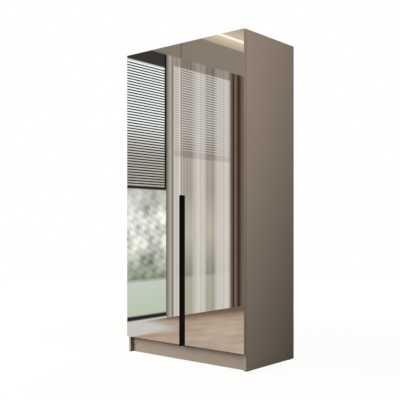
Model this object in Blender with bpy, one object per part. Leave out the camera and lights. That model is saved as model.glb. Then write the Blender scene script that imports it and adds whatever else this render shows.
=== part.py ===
"""Two-door mirror wardrobe: laminate carcass on a set-back plinth, with two full-height mirror doors.

Metres, +Z up, front towards -Y. The origin is on the floor, under the middle of the outer box. Each door
swings on four concealed cup hinges. A hinge is drawn in its own plan frame at the left door: u runs inwards
from the door's outer edge and v runs back from its rear face. The right door's hinges are the mirror image.
"""

import math

import bmesh
import bpy
import numpy as np
from mathutils import Matrix, Vector

# Outer sizes
WIDTH = 1.030
HEIGHT = 2.100
DEPTH = 0.560              # mirror face to the back
FIT = 0.0003               # gap left between pieces that touch
EDGE_ROUND = 0.0006        # broken edge of every board

# Carcass
PANEL = 0.018
GLIDE_HEIGHT = 0.003
GLIDE_RADIUS = 0.008
GLIDE_INSET = 0.045        # glide centre from the panel's front and rear edges
PLINTH_HEIGHT = 0.110      # floor to the underside of the bottom panel
PLINTH_BOARD = 0.016
PLINTH_SETBACK = 0.026     # plinth face behind the carcass front
REAR_RAIL_INSET = 0.050    # rear rail in front of the back sheets
BACK_SHEET = 0.003
BACK_LAP = 0.009           # how far a back sheet laps a side panel
BACK_SETBACK = 0.0014      # back sheets ahead of the side panels' rear edges
STRIP_FLANGE = 0.0009
STRIP_WEB = 0.0012
STRIP_WIDTH = 0.018

# Inside
SHELF = 0.018
SHELF_COUNT = 4
SHELF_CLEARANCE = 0.004    # shelf front behind the hinge arms
HAT_SHELF_DROP = 0.300     # clear height above the hat shelf
RAIL_WIDE = 0.015
RAIL_TALL = 0.030
RAIL_WALL = 0.0012
RAIL_DROP = 0.060          # hat shelf's underside to the rail's middle
SOCKET_PLATE = 0.0025
SOCKET_COLLAR = 0.012
SOCKET_WALL = 0.002
SOCKET_LIP = 0.006         # plate round the collar

# Doors
MIRROR = 0.003
BORE_SKIN = 0.0037         # board left between a hinge bore and the mirror
DOOR_REVEAL = 0.001        # door edge inside the carcass side
DOOR_TOP_REVEAL = 0.002
DOOR_BOTTOM_LAP = 0.002    # door's lower edge above the bottom panel's underside
MEETING_GAP = 0.003        # between the two doors
SWING_CLEARANCE = 0.0003   # least gap between a swinging door and the carcass
SWING_DEG = 100.0
HANDLE_BASE = 0.0108       # width let into the right door's free edge
HANDLE_BLADE = 0.0072      # width of the part that stands proud
HANDLE_PROUD = 0.025
HANDLE_LENGTH = 0.991
HANDLE_BELOW = 0.007       # handle's foot below the door's lower edge
HANDLE_ROUND = 0.0008

# Hinges
HINGE_COUNT = 4
HINGE_END = 0.100          # outer hinges from the door's ends
HINGE_OVERLAP = 0.017      # door overlap that the hinge plan is drawn for
CUP_EDGE = 0.004           # board left between the cup and the door's edge
CUP_RADIUS = 0.0175
CUP_DEPTH = 0.012
CUP_WALL = 0.0012
CUP_FLOOR = 0.001
RIM_WIDTH = 0.0015
RIM_TOP = 0.001
EAR_REACH = 0.030          # ear's end from the cup's middle
EAR_WIDTH = 0.014
EAR_OFFSET = 0.005         # ear's middle beyond the cup's middle
PIVOT_INSET = 0.0058       # door's turning axis from its edge
PIVOT_DEPTH = 0.00906      # and ahead of its rear face
PIN_RADIUS = 0.0012
PIN_RUN = 0.0003           # running clearance of a pin in its hole
CUP_PIN_CLEARANCE = 0.00116
CUP_PIN_DEPTH = 0.00473
ARM_PIN_CLEARANCE = 0.00447
ARM_PIN_LIFT = 0.00105     # arm head above the cup's floor
LINK_HALF = 0.0013         # half the thickness of the link's blade
LINK_WALL = 0.0011         # metal round its holes
LINK_WIDTH = 0.010
LINK_STEP = 0.0005         # blade narrower than its eyes, each side
LINK_BEND_ALONG = 0.0091
LINK_BEND_ACROSS = -0.00268
ARM_SHEET = 0.0015
ARM_HEAD = 0.0026
ARM_START = 0.008
ARM_END = 0.062
PLATE_BASE = 0.0025
PLATE_START = 0.020
PLATE_WING_MIDDLE = 0.039
PLATE_WING_WIDTH = 0.016
PLATE_WING_REACH = 0.024

# Facets of round shapes
CUP_SIDES = 24
PIN_SIDES = 12
ARC_STEPS = 8

# Derived places
HALF_WIDTH = WIDTH / 2
SIDE_INNER = HALF_WIDTH - PANEL
DOOR_BOARD = CUP_DEPTH + FIT + BORE_SKIN
FRONT_Y = -(DEPTH + HANDLE_PROUD) / 2
MIRROR_Y = FRONT_Y + HANDLE_PROUD
BOARD_Y = MIRROR_Y + MIRROR + FIT
DOOR_BACK_Y = BOARD_Y + DOOR_BOARD
BACK_Y = MIRROR_Y + DEPTH
SHEET_REAR_Y = BACK_Y - BACK_SETBACK
SHEET_FRONT_Y = SHEET_REAR_Y - BACK_SHEET
INNER_BACK_Y = SHEET_FRONT_Y - FIT
BOTTOM_TOP_Z = PLINTH_HEIGHT + PANEL
TOP_UNDER_Z = HEIGHT - PANEL
DOOR_LOW_Z = PLINTH_HEIGHT + DOOR_BOTTOM_LAP
DOOR_HIGH_Z = HEIGHT - DOOR_TOP_REVEAL
DOOR_OUTER_X = HALF_WIDTH - DOOR_REVEAL
DOOR_FREE_X = MEETING_GAP / 2
HANDLE_LOW_Z = DOOR_LOW_Z - HANDLE_BELOW
HANDLE_TOP_Z = HANDLE_LOW_Z + HANDLE_LENGTH

# Hinge plan: how far the plan shifts with the panel, then its points as (u, v)
PLAN_SHIFT = PANEL - DOOR_REVEAL - HINGE_OVERLAP
CUP_MIDDLE_U = PLAN_SHIFT + CUP_EDGE + CUP_RADIUS
CAVITY_RADIUS = CUP_RADIUS - CUP_WALL
EYE_HOLE = PIN_RADIUS + PIN_RUN
EYE_RADIUS = EYE_HOLE + LINK_WALL
PIVOT = Vector((PLAN_SHIFT + PIVOT_INSET, -PIVOT_DEPTH))
CUP_PIN = Vector((CUP_MIDDLE_U - CAVITY_RADIUS + EYE_RADIUS + CUP_PIN_CLEARANCE, -CUP_PIN_DEPTH))
ARM_PIN = Vector((CUP_MIDDLE_U + CAVITY_RADIUS - ARM_HEAD - ARM_PIN_CLEARANCE,
                  CUP_FLOOR - CUP_DEPTH + ARM_HEAD + ARM_PIN_LIFT))
SIDE_INNER_U = PANEL - DOOR_REVEAL
DOOR_STANDOFF = PIVOT.length - PIVOT_DEPTH + SWING_CLEARANCE
CARCASS_Y = DOOR_BACK_Y + DOOR_STANDOFF
SHELF_Y = DOOR_BACK_Y + ARM_END + SHELF_CLEARANCE


def principled(name, colour, roughness, metallic=0.0):
    """A material with one linear RGB colour, a roughness and a metallic value."""
    material = bpy.data.materials.new(name)
    material.use_nodes = True
    shader = material.node_tree.nodes["Principled BSDF"]
    shader.inputs["Base Color"].default_value = (*colour, 1.0)
    shader.inputs["Roughness"].default_value = roughness
    shader.inputs["Metallic"].default_value = metallic
    return material


def make_materials():
    return {
        "laminate": principled("taupe_laminate", (0.46, 0.39, 0.34), 0.5),
        "mirror": principled("silvered_mirror", (0.90, 0.91, 0.90), 0.02, 1.0),
        "handle": principled("black_aluminium", (0.008, 0.008, 0.009), 0.4, 0.4),
        "hinge": principled("nickel_steel", (0.60, 0.59, 0.57), 0.28, 1.0),
        "chrome": principled("chromed_tube", (0.75, 0.76, 0.77), 0.12, 1.0),
        "back": principled("faced_hardboard", (0.50, 0.43, 0.38), 0.6),
        "plastic": principled("grey_polymer", (0.20, 0.19, 0.18), 0.55),
    }


def mesh_from(bm, name):
    """Closes a bmesh: outward faces, then a mesh shaded smooth with sharp edges kept."""
    bmesh.ops.recalc_face_normals(bm, faces=bm.faces)
    mesh = bpy.data.meshes.new(name)
    bm.to_mesh(mesh)
    bm.free()
    mesh.shade_smooth()
    mesh.set_sharp_from_angle(angle=math.radians(35))
    return mesh


def put(name, mesh, material, place=(0, 0, 0), parent=None, turn=0.0):
    """An object at a world place, turned about Z, carried by a parent empty where it moves."""
    obj = bpy.data.objects.new(name, mesh)
    bpy.context.scene.collection.objects.link(obj)
    if not mesh.materials:
        mesh.materials.append(material)
    obj.location = Vector(place)
    if parent:
        obj.parent = parent
        obj.location -= parent.location
    obj.rotation_euler.z = turn
    return obj


def axis_empty(name, place):
    empty = bpy.data.objects.new(name, None)
    empty.location = place
    bpy.context.scene.collection.objects.link(empty)
    return empty


def break_edges(bm, width):
    bmesh.ops.bevel(bm, geom=list(bm.edges), offset=width, segments=1, affect="EDGES")


def block(low, high):
    """A bmesh block between two corners."""
    bm = bmesh.new()
    size = Vector(high) - Vector(low)
    middle = (Vector(high) + Vector(low)) / 2
    bmesh.ops.create_cube(bm, matrix=Matrix.Translation(middle) @ Matrix.Diagonal((*size, 1.0)))
    return bm


def prism(outline, start, end, axis):
    """A closed outline of (a, b) points carried along one axis; a and b are the other two axes in order."""
    bm = bmesh.new()
    other = [i for i in range(3) if i != axis]
    corners = []
    for a, b in outline:
        co = [0.0, 0.0, 0.0]
        co[other[0]] = a
        co[other[1]] = b
        co[axis] = start
        corners.append(bm.verts.new(co))
    face = bm.faces.new(corners)
    extruded = bmesh.ops.extrude_face_region(bm, geom=[face])
    step = Vector((0, 0, 0))
    step[axis] = end - start
    moved = [item for item in extruded["geom"] if isinstance(item, bmesh.types.BMVert)]
    bmesh.ops.translate(bm, verts=moved, vec=step)
    return bm


def round_bar(middle, radius, low, high, sides=PIN_SIDES):
    """An upright round bar in the hinge plan."""
    bm = bmesh.new()
    place = Matrix.Translation((middle[0], middle[1], (low + high) / 2))
    bmesh.ops.create_cone(bm, cap_ends=True, segments=sides, radius1=radius, radius2=radius,
                          depth=high - low, matrix=place)
    return bm


def arc(middle, radius, start_deg, end_deg, steps=ARC_STEPS):
    angles = np.radians(np.linspace(start_deg, end_deg, steps + 1))
    return [(middle[0] + radius * math.cos(a), middle[1] + radius * math.sin(a)) for a in angles]


def capsule(first, first_radius, second, second_radius, low, high):
    """The hull of two upright round bars."""
    bm = bmesh.new()
    for middle, radius in ((first, first_radius), (second, second_radius)):
        for z in (low, high):
            for a, b in arc(middle, radius, 0, 360, 2 * ARC_STEPS)[:-1]:
                bm.verts.new((a, b, z))
    hull = bmesh.ops.convex_hull(bm, input=bm.verts)
    inside = [item for item in hull["geom_interior"] if isinstance(item, bmesh.types.BMVert)]
    bmesh.ops.delete(bm, geom=inside, context="VERTS")
    bmesh.ops.dissolve_limit(bm, angle_limit=math.radians(0.5), verts=bm.verts, edges=bm.edges)
    return bm


def fused(name, base, adds=(), cuts=()):
    """One solid: the base, joined with each of adds, then cut by each of cuts."""
    helpers = []
    obj = put(name, mesh_from(base, name), None)
    for operation, shapes in (("UNION", adds), ("DIFFERENCE", cuts)):
        for shape in shapes:
            helper = put(f"{name}_helper", mesh_from(shape, f"{name}_helper"), None)
            modifier = obj.modifiers.new(operation.lower(), "BOOLEAN")
            modifier.operation = operation
            modifier.object = helper
            helpers.append(helper)
    bpy.context.view_layer.update()
    mesh = bpy.data.meshes.new_from_object(obj.evaluated_get(bpy.context.evaluated_depsgraph_get()))
    mesh.name = name
    mesh.materials.clear()
    for item in (obj, *helpers):
        old = item.data
        bpy.data.objects.remove(item)
        bpy.data.meshes.remove(old)
    mesh.shade_smooth()
    mesh.set_sharp_from_angle(angle=math.radians(35))
    return mesh


def mirrored(mesh):
    """The same solid for the other hand."""
    copy = mesh.copy()
    copy.transform(Matrix.Scale(-1, 4, (1, 0, 0)))
    copy.flip_normals()
    return copy


def board(name, low, high, material, parent=None):
    """A plain board between two world corners, its own origin at its middle."""
    middle = (Vector(low) + Vector(high)) / 2
    bm = block(Vector(low) - middle, Vector(high) - middle)
    break_edges(bm, EDGE_ROUND)
    return put(name, mesh_from(bm, name), material, middle, parent)


def make_sides(mats):
    """Two side panels, each rebated at its rear inner corner for the back sheet."""
    for hand, sign in (("left", -1), ("right", 1)):
        rebate_x = SIDE_INNER + BACK_LAP + FIT
        outline = [(HALF_WIDTH, CARCASS_Y), (HALF_WIDTH, BACK_Y), (rebate_x, BACK_Y),
                   (rebate_x, INNER_BACK_Y), (SIDE_INNER, INNER_BACK_Y), (SIDE_INNER, CARCASS_Y)]
        bm = prism([(sign * x, y) for x, y in outline], GLIDE_HEIGHT, HEIGHT, 2)
        break_edges(bm, EDGE_ROUND)
        put(f"{hand}_side_panel", mesh_from(bm, f"{hand}_side_panel"), mats["laminate"])


def make_glides(mats):
    """Four plastic nail-on glides under the side panels' lower edges."""
    lower_radius = GLIDE_RADIUS - GLIDE_HEIGHT / 2
    top = GLIDE_HEIGHT - FIT
    for hand, sign in (("left", -1), ("right", 1)):
        for end, y in (("front", CARCASS_Y + GLIDE_INSET), ("rear", BACK_Y - GLIDE_INSET)):
            bm = bmesh.new()
            bmesh.ops.create_cone(bm, cap_ends=True, segments=CUP_SIDES, radius1=lower_radius,
                                  radius2=GLIDE_RADIUS, depth=top, matrix=Matrix.Translation((0, 0, top / 2)))
            name = f"{end}_{hand}_glide"
            put(name, mesh_from(bm, name), mats["plastic"], (sign * (HALF_WIDTH - PANEL / 2), y, 0))


def make_carcass_boards(mats):
    """Everything that lies between the side panels and carries the inside."""
    reach = SIDE_INNER - FIT
    laminate = mats["laminate"]
    board("top_panel", (-reach, CARCASS_Y, TOP_UNDER_Z), (reach, INNER_BACK_Y, HEIGHT), laminate)
    board("bottom_panel", (-reach, CARCASS_Y, PLINTH_HEIGHT), (reach, INNER_BACK_Y, BOTTOM_TOP_Z), laminate)
    plinth_y = CARCASS_Y + PLINTH_SETBACK
    plinth_top = PLINTH_HEIGHT - FIT
    board("plinth_board", (-reach, plinth_y, GLIDE_HEIGHT), (reach, plinth_y + PLINTH_BOARD, plinth_top),
          laminate)
    rail_y = INNER_BACK_Y - REAR_RAIL_INSET
    board("rear_plinth_rail", (-reach, rail_y - PLINTH_BOARD, GLIDE_HEIGHT), (reach, rail_y, plinth_top),
          laminate)
    partition_rear = INNER_BACK_Y - STRIP_FLANGE - FIT
    board("centre_partition", (-PANEL / 2, CARCASS_Y, BOTTOM_TOP_Z + FIT),
          (PANEL / 2, partition_rear, TOP_UNDER_Z - FIT), laminate)


def make_back(mats):
    """Two thin back sheets, joined behind the partition by a strip of H section."""
    inner = STRIP_WEB / 2 + FIT
    outer = SIDE_INNER + BACK_LAP
    for hand, sign in (("left", -1), ("right", 1)):
        ends = sorted((sign * inner, sign * outer))
        bm = block((ends[0], SHEET_FRONT_Y, PLINTH_HEIGHT), (ends[1], SHEET_REAR_Y, HEIGHT))
        put(f"back_panel_{hand}", mesh_from(bm, f"back_panel_{hand}"), mats["back"])
    front_slot = SHEET_FRONT_Y - FIT
    rear_slot = SHEET_REAR_Y + FIT
    half = [(STRIP_WIDTH / 2, front_slot - STRIP_FLANGE), (STRIP_WIDTH / 2, front_slot),
            (STRIP_WEB / 2, front_slot), (STRIP_WEB / 2, rear_slot),
            (STRIP_WIDTH / 2, rear_slot), (STRIP_WIDTH / 2, rear_slot + STRIP_FLANGE)]
    outline = half + [(-x, y) for x, y in reversed(half)]
    bm = prism(outline, BOTTOM_TOP_Z + FIT, TOP_UNDER_Z - FIT, 2)
    put("back_joint_strip", mesh_from(bm, "back_joint_strip"), mats["plastic"])


def make_shelves(mats):
    """Evenly spaced shelves in the left bay and a hat shelf in the right one, clear of the hinge arms."""
    outer = SIDE_INNER - FIT
    inner = PANEL / 2 + FIT
    clear = (TOP_UNDER_Z - BOTTOM_TOP_Z - SHELF_COUNT * SHELF) / (SHELF_COUNT + 1)
    for i in range(SHELF_COUNT):
        low = BOTTOM_TOP_Z + clear + i * (clear + SHELF)
        board(f"shelf_{i + 1}", (-outer, SHELF_Y, low), (-inner, INNER_BACK_Y, low + SHELF), mats["laminate"])
    hat_low = TOP_UNDER_Z - HAT_SHELF_DROP - SHELF
    board("hat_shelf", (inner, SHELF_Y, hat_low), (outer, INNER_BACK_Y, hat_low + SHELF), mats["laminate"])
    return hat_low


def make_clothes_rail(mats, hat_low):
    """An oval tube in two U-shaped sockets, one on the partition and one on the right side panel."""
    middle = Vector((0, (SHELF_Y + INNER_BACK_Y) / 2, hat_low - RAIL_DROP))
    straight = (RAIL_TALL - RAIL_WIDE) / 2

    def oval(radius):
        return arc((0, straight), radius, 0, 180) + arc((0, -straight), radius, 180, 360)

    start = PANEL / 2 + FIT
    end = SIDE_INNER - FIT
    rail_start = start + SOCKET_PLATE + FIT
    rail_end = end - SOCKET_PLATE - FIT
    tube = prism(oval(RAIL_WIDE / 2), rail_start, rail_end, 0)
    bore = prism(oval(RAIL_WIDE / 2 - RAIL_WALL), rail_start - PANEL, rail_end + PANEL, 0)
    put("clothes_rail", fused("clothes_rail", tube, cuts=[bore]), mats["chrome"], middle)

    inner = RAIL_WIDE / 2 + FIT
    outer = inner + SOCKET_WALL
    collar_outline = ([(outer, straight)] + arc((0, -straight), outer, 0, -180) + [(-outer, straight)]
                      + [(-inner, straight)] + arc((0, -straight), inner, -180, 0) + [(inner, straight)])
    plate = prism(oval(outer + SOCKET_LIP), 0, SOCKET_PLATE, 0)
    collar = prism(collar_outline, SOCKET_PLATE / 2, SOCKET_PLATE + SOCKET_COLLAR, 0)
    socket = fused("rail_socket", plate, adds=[collar])
    put("rail_socket_left", socket, mats["chrome"], middle + Vector((start, 0, 0)))
    put("rail_socket_right", mirrored(socket), mats["chrome"], middle + Vector((end, 0, 0)))


def hinge_heights():
    return np.linspace(DOOR_LOW_Z + HINGE_END, DOOR_HIGH_Z - HINGE_END, HINGE_COUNT)


def door_face(sign, handled, gap):
    """A door's outline in (x, z), cut back at its free edge where a handle is let in."""
    outline = [(DOOR_OUTER_X, DOOR_LOW_Z), (DOOR_OUTER_X, DOOR_HIGH_Z), (DOOR_FREE_X, DOOR_HIGH_Z)]
    if handled:
        step = DOOR_FREE_X + HANDLE_BASE + gap
        outline += [(DOOR_FREE_X, HANDLE_TOP_Z + gap), (step, HANDLE_TOP_Z + gap), (step, DOOR_LOW_Z)]
    else:
        outline += [(DOOR_FREE_X, DOOR_LOW_Z)]
    return [(sign * x, z) for x, z in outline]


def make_door(hand, sign, handled, mats):
    """A bored board with its mirror sheet, hung on an empty at its turning axis. Returns the empty.

    The board's faces are split between the hinges, so that each band of them meets one bore.
    """
    axis = axis_empty(f"{hand}_door_axis", (sign * (DOOR_OUTER_X - PIVOT.x), DOOR_BACK_Y + PIVOT.y, 0))
    outline = door_face(sign, handled, FIT)

    base = prism(outline, BOARD_Y, DOOR_BACK_Y, 1)
    break_edges(base, EDGE_ROUND)
    heights = hinge_heights()
    for below, above in zip(heights, heights[1:]):
        bmesh.ops.bisect_plane(base, geom=[*base.verts, *base.edges, *base.faces],
                               plane_co=(0, 0, (below + above) / 2), plane_no=(0, 0, 1))
    bores = []
    for z in heights:
        bore = round_bar((0, 0), CUP_RADIUS + FIT, -CUP_DEPTH - FIT, CUP_DEPTH, CUP_SIDES)
        bmesh.ops.rotate(bore, verts=bore.verts, matrix=Matrix.Rotation(math.radians(-90), 3, "X"))
        place = (sign * (DOOR_OUTER_X - CUP_MIDDLE_U), DOOR_BACK_Y, z)
        bmesh.ops.translate(bore, verts=bore.verts, vec=place)
        bores.append(bore)
    panel = fused(f"{hand}_door_board", base, cuts=bores)
    put(f"{hand}_door_board", panel, mats["laminate"], parent=axis)

    glass = prism(outline, MIRROR_Y, MIRROR_Y + MIRROR, 1)
    put(f"{hand}_door_mirror", mesh_from(glass, f"{hand}_door_mirror"), mats["mirror"], parent=axis)
    return axis


def make_handle(mats, axis):
    """A stepped bar: its base is let into the right door's free edge, its blade stands proud of the mirror."""
    far = DOOR_FREE_X + HANDLE_BASE
    near = far - HANDLE_BLADE
    outline = [(DOOR_FREE_X, MIRROR_Y), (near, MIRROR_Y), (near, FRONT_Y), (far, FRONT_Y),
               (far, DOOR_BACK_Y), (DOOR_FREE_X, DOOR_BACK_Y)]
    bm = prism(outline, HANDLE_LOW_Z, HANDLE_TOP_Z, 2)
    break_edges(bm, HANDLE_ROUND)
    put("door_handle", mesh_from(bm, "door_handle"), mats["handle"], parent=axis)


def linkage():
    """How the link follows the door: its rest angle, turn per turn of the door, and the slot's run.

    The link turns on the cup pin. Seen from the door, the arm pin travels on a circle about the door's axis.
    The link's angle is the straight line that best fits the direction from cup pin to arm pin over the swing.
    What is left over is taken up along the slot and across it.
    """
    swing = np.linspace(0, math.radians(SWING_DEG), 41)
    arm = ARM_PIN - PIVOT
    path_u = PIVOT.x + arm.x * np.cos(swing) - arm.y * np.sin(swing)
    path_v = PIVOT.y + arm.x * np.sin(swing) + arm.y * np.cos(swing)
    from_pin_u = path_u - CUP_PIN.x
    from_pin_v = path_v - CUP_PIN.y
    angle = np.unwrap(np.arctan2(from_pin_v, from_pin_u))
    ratio, start = np.polyfit(swing, angle, 1)
    left_over = angle - start - ratio * swing
    reach = np.hypot(from_pin_u, from_pin_v)
    along = reach * np.cos(left_over)
    across = float(np.abs(reach * np.sin(left_over)).max())
    print(f"link turns {ratio:.4f} per turn of the door, slot play {across * 1000:.2f} mm")
    return float(start), float(along.min()), float(along.max()), across


def cup_mesh():
    """A turned cup with a rim and two ears, and the pin that carries the link across its mouth."""
    profile = [(0, -CUP_DEPTH), (CUP_RADIUS, -CUP_DEPTH), (CUP_RADIUS, FIT), (CUP_RADIUS + RIM_WIDTH, FIT),
               (CUP_RADIUS + RIM_WIDTH, RIM_TOP), (CAVITY_RADIUS, RIM_TOP),
               (CAVITY_RADIUS, CUP_FLOOR - CUP_DEPTH), (0, CUP_FLOOR - CUP_DEPTH)]
    turned = bmesh.new()
    ring = [turned.verts.new((radius, v, 0)) for radius, v in profile]
    edges = [turned.edges.new(pair) for pair in zip(ring, ring[1:])]
    bmesh.ops.spin(turned, geom=ring + edges, cent=(0, 0, 0), axis=(0, 1, 0), angle=2 * math.pi,
                   steps=CUP_SIDES, use_merge=True)
    bmesh.ops.remove_doubles(turned, verts=turned.verts, dist=1e-6)
    bmesh.ops.translate(turned, verts=turned.verts, vec=(CUP_MIDDLE_U, 0, 0))
    ears = []
    ear_start = CAVITY_RADIUS + RIM_WIDTH / 3
    ear_u = CUP_MIDDLE_U + EAR_OFFSET
    for sign in (-1, 1):
        z_ends = sorted((sign * ear_start, sign * EAR_REACH))
        ears.append(block((ear_u - EAR_WIDTH / 2, FIT, z_ends[0]),
                          (ear_u + EAR_WIDTH / 2, RIM_TOP, z_ends[1])))
    pin_half = math.sqrt(CAVITY_RADIUS ** 2 - (CUP_MIDDLE_U - CUP_PIN.x) ** 2) + CUP_WALL / 2
    pin = round_bar(CUP_PIN, PIN_RADIUS, -pin_half, pin_half)
    return fused("hinge_cup", turned, adds=[*ears, pin])


def blade_outline(points, half):
    """A bent strip's outline: each point moved half a thickness to both sides, mitred at the bends."""
    points = [Vector(point) for point in points]
    runs = [(after - before).normalized() for before, after in zip(points, points[1:])]
    across = [Vector((-run.y, run.x)) for run in runs]
    shifts = [across[0] * half]
    for one, two in zip(across, across[1:]):
        shifts.append((one + two) * (half / (1 + one.dot(two))))
    shifts.append(across[-1] * half)
    one_side = [point + shift for point, shift in zip(points, shifts)]
    other_side = [point - shift for point, shift in zip(points, shifts)]
    return [tuple(point) for point in one_side + other_side[::-1]]


def link_mesh(slot_start, slot_end, play):
    """A cranked link in its own frame: an eye at the origin, a blade with one bend, and a slot on +u."""
    boss = LINK_WIDTH / 2
    blade = boss - LINK_STEP
    slot_half = EYE_HOLE + play
    slot_outer = slot_half + LINK_WALL
    eye = (0.0, 0.0)
    bend = (LINK_BEND_ALONG, LINK_BEND_ACROSS)
    near = (slot_start, 0.0)
    far = (slot_end, 0.0)
    strip = prism(blade_outline((eye, bend, near), LINK_HALF), -blade, blade, 2)
    adds = [round_bar(eye, EYE_RADIUS, -boss, boss, 2 * ARC_STEPS),
            capsule(near, slot_outer, far, slot_outer, -boss, boss)]
    cuts = [round_bar(eye, EYE_HOLE, -LINK_WIDTH, LINK_WIDTH),
            capsule(near, slot_half, far, slot_half, -LINK_WIDTH, LINK_WIDTH)]
    return fused("hinge_link", strip, adds, cuts)


def arm_mesh():
    """A U-shaped arm of sheet steel: two cheeks, a back between them, and the pin in its head."""
    inner = LINK_WIDTH / 2 + FIT
    outer = inner + ARM_SHEET
    top_u = ARM_PIN.x + ARM_HEAD
    low_u = SIDE_INNER_U + FIT + PLATE_BASE + FIT
    outline = arc(ARM_PIN, ARM_HEAD, 180, 360) + [(top_u, ARM_END), (low_u, ARM_END), (low_u, ARM_START),
                                                  (ARM_PIN.x - ARM_HEAD, ARM_START)]
    overlap = inner + ARM_SHEET / 2
    back = block((top_u - ARM_SHEET, ARM_START, -overlap), (top_u, ARM_END, overlap))
    pin = round_bar(ARM_PIN, PIN_RADIUS, -overlap, overlap)
    return fused("hinge_arm", prism(outline, -outer, -inner, 2), [prism(outline, inner, outer, 2), back, pin])


def plate_mesh():
    """A winged mounting plate screwed to the side panel, with the block that the arm straddles."""
    base_u = SIDE_INNER_U + FIT
    block_u = ARM_PIN.x + ARM_HEAD - ARM_SHEET - FIT
    half = LINK_WIDTH / 2
    wing_v = (PLATE_WING_MIDDLE - PLATE_WING_WIDTH / 2, PLATE_WING_MIDDLE + PLATE_WING_WIDTH / 2)
    base = block((base_u, wing_v[0], -PLATE_WING_REACH), (base_u + PLATE_BASE, wing_v[1], PLATE_WING_REACH))
    break_edges(base, EDGE_ROUND)
    foot = block((base_u, PLATE_START, -half), (block_u, ARM_END, half))
    break_edges(foot, EDGE_ROUND)
    return fused("hinge_plate", base, [foot])


def make_hinges(mats, axes):
    """Four hinges a door. Cups and links move with the door's empty; arms and plates stay on the carcass."""
    rest_angle, slot_start, slot_end, play = linkage()
    left = {"cup": cup_mesh(), "link": link_mesh(slot_start, slot_end, play),
            "arm": arm_mesh(), "plate": plate_mesh()}
    right = {kind: mirrored(mesh) for kind, mesh in left.items()}
    for hand, sign, meshes in (("left", -1, left), ("right", 1, right)):
        edge = Vector((sign * DOOR_OUTER_X, DOOR_BACK_Y, 0))
        pin = Vector((-sign * CUP_PIN.x, CUP_PIN.y, 0))
        for number, z in enumerate(hinge_heights(), 1):
            place = edge + Vector((0, 0, z))
            stem = f"{hand}_hinge_{number}"
            put(f"{stem}_cup", meshes["cup"], mats["hinge"], place, axes[hand])
            put(f"{stem}_link", meshes["link"], mats["hinge"], place + pin, axes[hand], -sign * rest_angle)
            put(f"{stem}_arm", meshes["arm"], mats["hinge"], place)
            put(f"{stem}_plate", meshes["plate"], mats["hinge"], place)


def main():
    for obj in list(bpy.data.objects):
        bpy.data.objects.remove(obj, do_unlink=True)
    mats = make_materials()
    make_sides(mats)
    make_glides(mats)
    make_carcass_boards(mats)
    make_back(mats)
    hat_low = make_shelves(mats)
    make_clothes_rail(mats, hat_low)
    axes = {"left": make_door("left", -1, False, mats), "right": make_door("right", 1, True, mats)}
    make_handle(mats, axes["right"])
    make_hinges(mats, axes)


main()
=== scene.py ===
"""Looks of the two-door mirror wardrobe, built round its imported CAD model.

Metres, +Z up, doors facing -Y, the origin on the floor under the middle of the outer box. New pieces are
skins over rings of points. Each takes its place from the boxes of the CAD nodes that it replaces or is
fixed to.
"""

import math

import bpy
import numpy as np
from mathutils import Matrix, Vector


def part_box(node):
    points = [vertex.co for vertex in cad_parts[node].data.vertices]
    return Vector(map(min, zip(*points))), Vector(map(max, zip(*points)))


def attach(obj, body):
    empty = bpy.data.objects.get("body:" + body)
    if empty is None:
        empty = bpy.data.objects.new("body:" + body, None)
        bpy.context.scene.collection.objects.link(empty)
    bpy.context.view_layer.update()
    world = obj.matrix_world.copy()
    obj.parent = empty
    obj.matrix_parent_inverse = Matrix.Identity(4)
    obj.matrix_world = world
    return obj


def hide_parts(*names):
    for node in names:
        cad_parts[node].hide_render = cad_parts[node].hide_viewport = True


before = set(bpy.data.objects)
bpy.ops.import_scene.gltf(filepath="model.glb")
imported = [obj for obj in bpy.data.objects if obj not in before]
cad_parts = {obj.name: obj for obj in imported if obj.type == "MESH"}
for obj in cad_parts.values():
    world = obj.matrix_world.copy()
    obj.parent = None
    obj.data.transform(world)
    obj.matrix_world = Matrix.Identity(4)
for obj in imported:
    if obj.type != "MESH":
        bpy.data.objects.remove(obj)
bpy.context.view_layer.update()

MM = 0.001
FIT = 0.3 * MM                  # gap between pieces that touch

# Camera: the photograph's angle, level, with the horizon a little below the middle
CAMERA_PLACE = (2.9336, -3.538, 0.9068)
CAMERA_TURN = math.radians(40.27)
CAMERA_LENS = 60.03             # mm on a 36 mm sensor
CAMERA_SHIFT_Y = 0.0600

# Lamps: name, place, target, side in metres, watts, colour
LAMPS = (
    ("key", (-2.0, -3.6, 2.3), (0.0, -0.25, 0.1), 3.8, 262.0, "#FFFCF6"),
    ("side", (4.3, -0.35, 1.63), (0.515, -9.0, 5.25), 0.9, 224.0, "#FFFCF4"),
    ("rear", (-0.6, 3.6, 4.2), (0.0, 0.3, 1.2), 1.8, 120.0, "#FFFCF5"),
)
AMBIENT = "#FFF2DF"
AMBIENT_STRENGTH = 0.035
WHITE = "#FFFFFF"
FLOOR_RADIUS = 7.0
FLOOR_TOP = -0.2 * MM           # just under the glides
FLOOR_UNDERSIDE = -2.0 * MM
FLOOR_SIDES = 96
FLOOR_BOUNCE = "#423D37"        # how much lamp light the floor returns
FLOOR_GLOW = 0.955              # its own share of white, as the camera sees it
GLOW_START = 1.3                # from here outwards the glow grows to full white
GLOW_END = 3.2

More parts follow.
